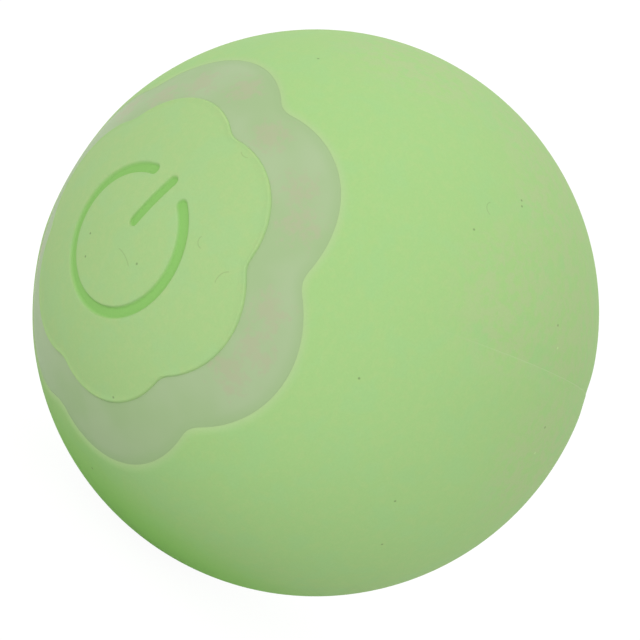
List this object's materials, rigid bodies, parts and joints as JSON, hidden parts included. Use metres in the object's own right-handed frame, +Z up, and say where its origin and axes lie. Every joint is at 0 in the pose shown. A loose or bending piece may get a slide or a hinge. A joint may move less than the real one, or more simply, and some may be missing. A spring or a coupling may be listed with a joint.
{
  "type": "self rolling cat ball",
  "caption": "Small ball in a matte silicone sleeve that rolls by itself, with a lobed translucent light ring, a round push button with a power symbol and a geared motor pod hanging inside.",
  "frame": {"origin": "centre of the ball", "axes": "+Y along the roll axis towards the charging port, so the button faces -Y; +Z up, where the bar of the power symbol points; +X to the right, seen from the button's side"},
  "size_m": [0.043, 0.043, 0.043],
  "materials": {
    "green_silicone": "matte, fine grain",
    "milky_plastic": "translucent, satin",
    "white_plastic": "satin",
    "black_plastic": "moulded",
    "gear_nylon": "moulded nylon",
    "steel": "bright",
    "bronze": "sintered",
    "zinc": "cast",
    "board_laminate": "solder mask",
    "chip_resin": "moulded",
    "battery_foil": "foil",
    "led_resin": "clear resin"
  },
  "bodies": {
    "ball_shell": {"silicone_cover": "green_silicone", "light_ring": "milky_plastic", "front_shell": "white_plastic", "rear_shell": "white_plastic", "ring_gear": "gear_nylon"},
    "button": {"button_pad": "green_silicone", "button_cap": "white_plastic", "stem_clip": "steel"},
    "plug": {"port_plug": "green_silicone"},
    "drive_pod": {"pod_frame": "black_plastic", "gear_cover": "black_plastic", "front_bracket": "black_plastic", "front_bush": "bronze", "rear_bush": "bronze", "motor_can": "steel", "motor_end_cap": "black_plastic", "first_axle": "steel", "second_axle": "steel", "battery_cell": "battery_foil", "counterweight": "zinc", "main_board": "board_laminate", "switch_base": "chip_resin", "control_chip": "chip_resin", "led_1": "led_resin", "led_2": "led_resin", "led_3": "led_resin", "usb_board": "board_laminate", "usb_socket": "steel", "usb_tongue": "chip_resin", "charge_chip": "chip_resin", "bracket_screw_1": "steel", "bracket_screw_2": "steel", "cover_screw_1": "steel", "cover_screw_2": "steel", "cover_screw_3": "steel", "weight_screw_1": "steel", "weight_screw_2": "steel"},
    "switch_button": {"switch_plunger": "black_plastic"},
    "motor_rotor": {"motor_shaft": "steel", "motor_pinion": "bronze"},
    "first_compound": {"first_gear": "gear_nylon"},
    "second_compound": {"second_gear": "gear_nylon"}
  },
  "joints": [
    {"name": "pod_swing", "type": "hinge", "parent": "ball_shell", "child": "drive_pod", "pos_m": [0, 0, 0], "axis": [0, 1, 0], "continuous": true},
    {"name": "second_gear_turn", "type": "hinge", "parent": "drive_pod", "child": "second_compound", "pos_m": [0.00712, 0, 0.00549], "axis": [0, 1, 0], "continuous": true},
    {"name": "first_gear_turn", "type": "hinge", "parent": "drive_pod", "child": "first_compound", "pos_m": [0.007, 0, -0.00131], "axis": [0, 1, 0], "continuous": true},
    {"name": "motor_turn", "type": "hinge", "parent": "drive_pod", "child": "motor_rotor", "pos_m": [0, 0, -0.003], "axis": [0, 1, 0], "continuous": true},
    {"name": "button_press", "type": "slide", "parent": "ball_shell", "child": "button", "axis": [0, 1, 0], "range_m": [0, 0.0005], "stiffness_N_per_m": 1500},
    {"name": "switch_press", "type": "slide", "parent": "drive_pod", "child": "switch_button", "axis": [0, 1, 0], "range_m": [0, 0.00025]},
    {"name": "plug_pull", "type": "slide", "parent": "ball_shell", "child": "plug", "axis": [0, 1, 0], "range_m": [0, 0.008]}
  ],
  "couplings": [
    {"joint": "second_gear_turn", "follows": "pod_swing", "ratio": -4},
    {"joint": "first_gear_turn", "follows": "pod_swing", "ratio": 9.6},
    {"joint": "motor_turn", "follows": "pod_swing", "ratio": -24.96},
    {"joint": "switch_press", "follows": "button_press", "ratio": 0.5}
  ]
}
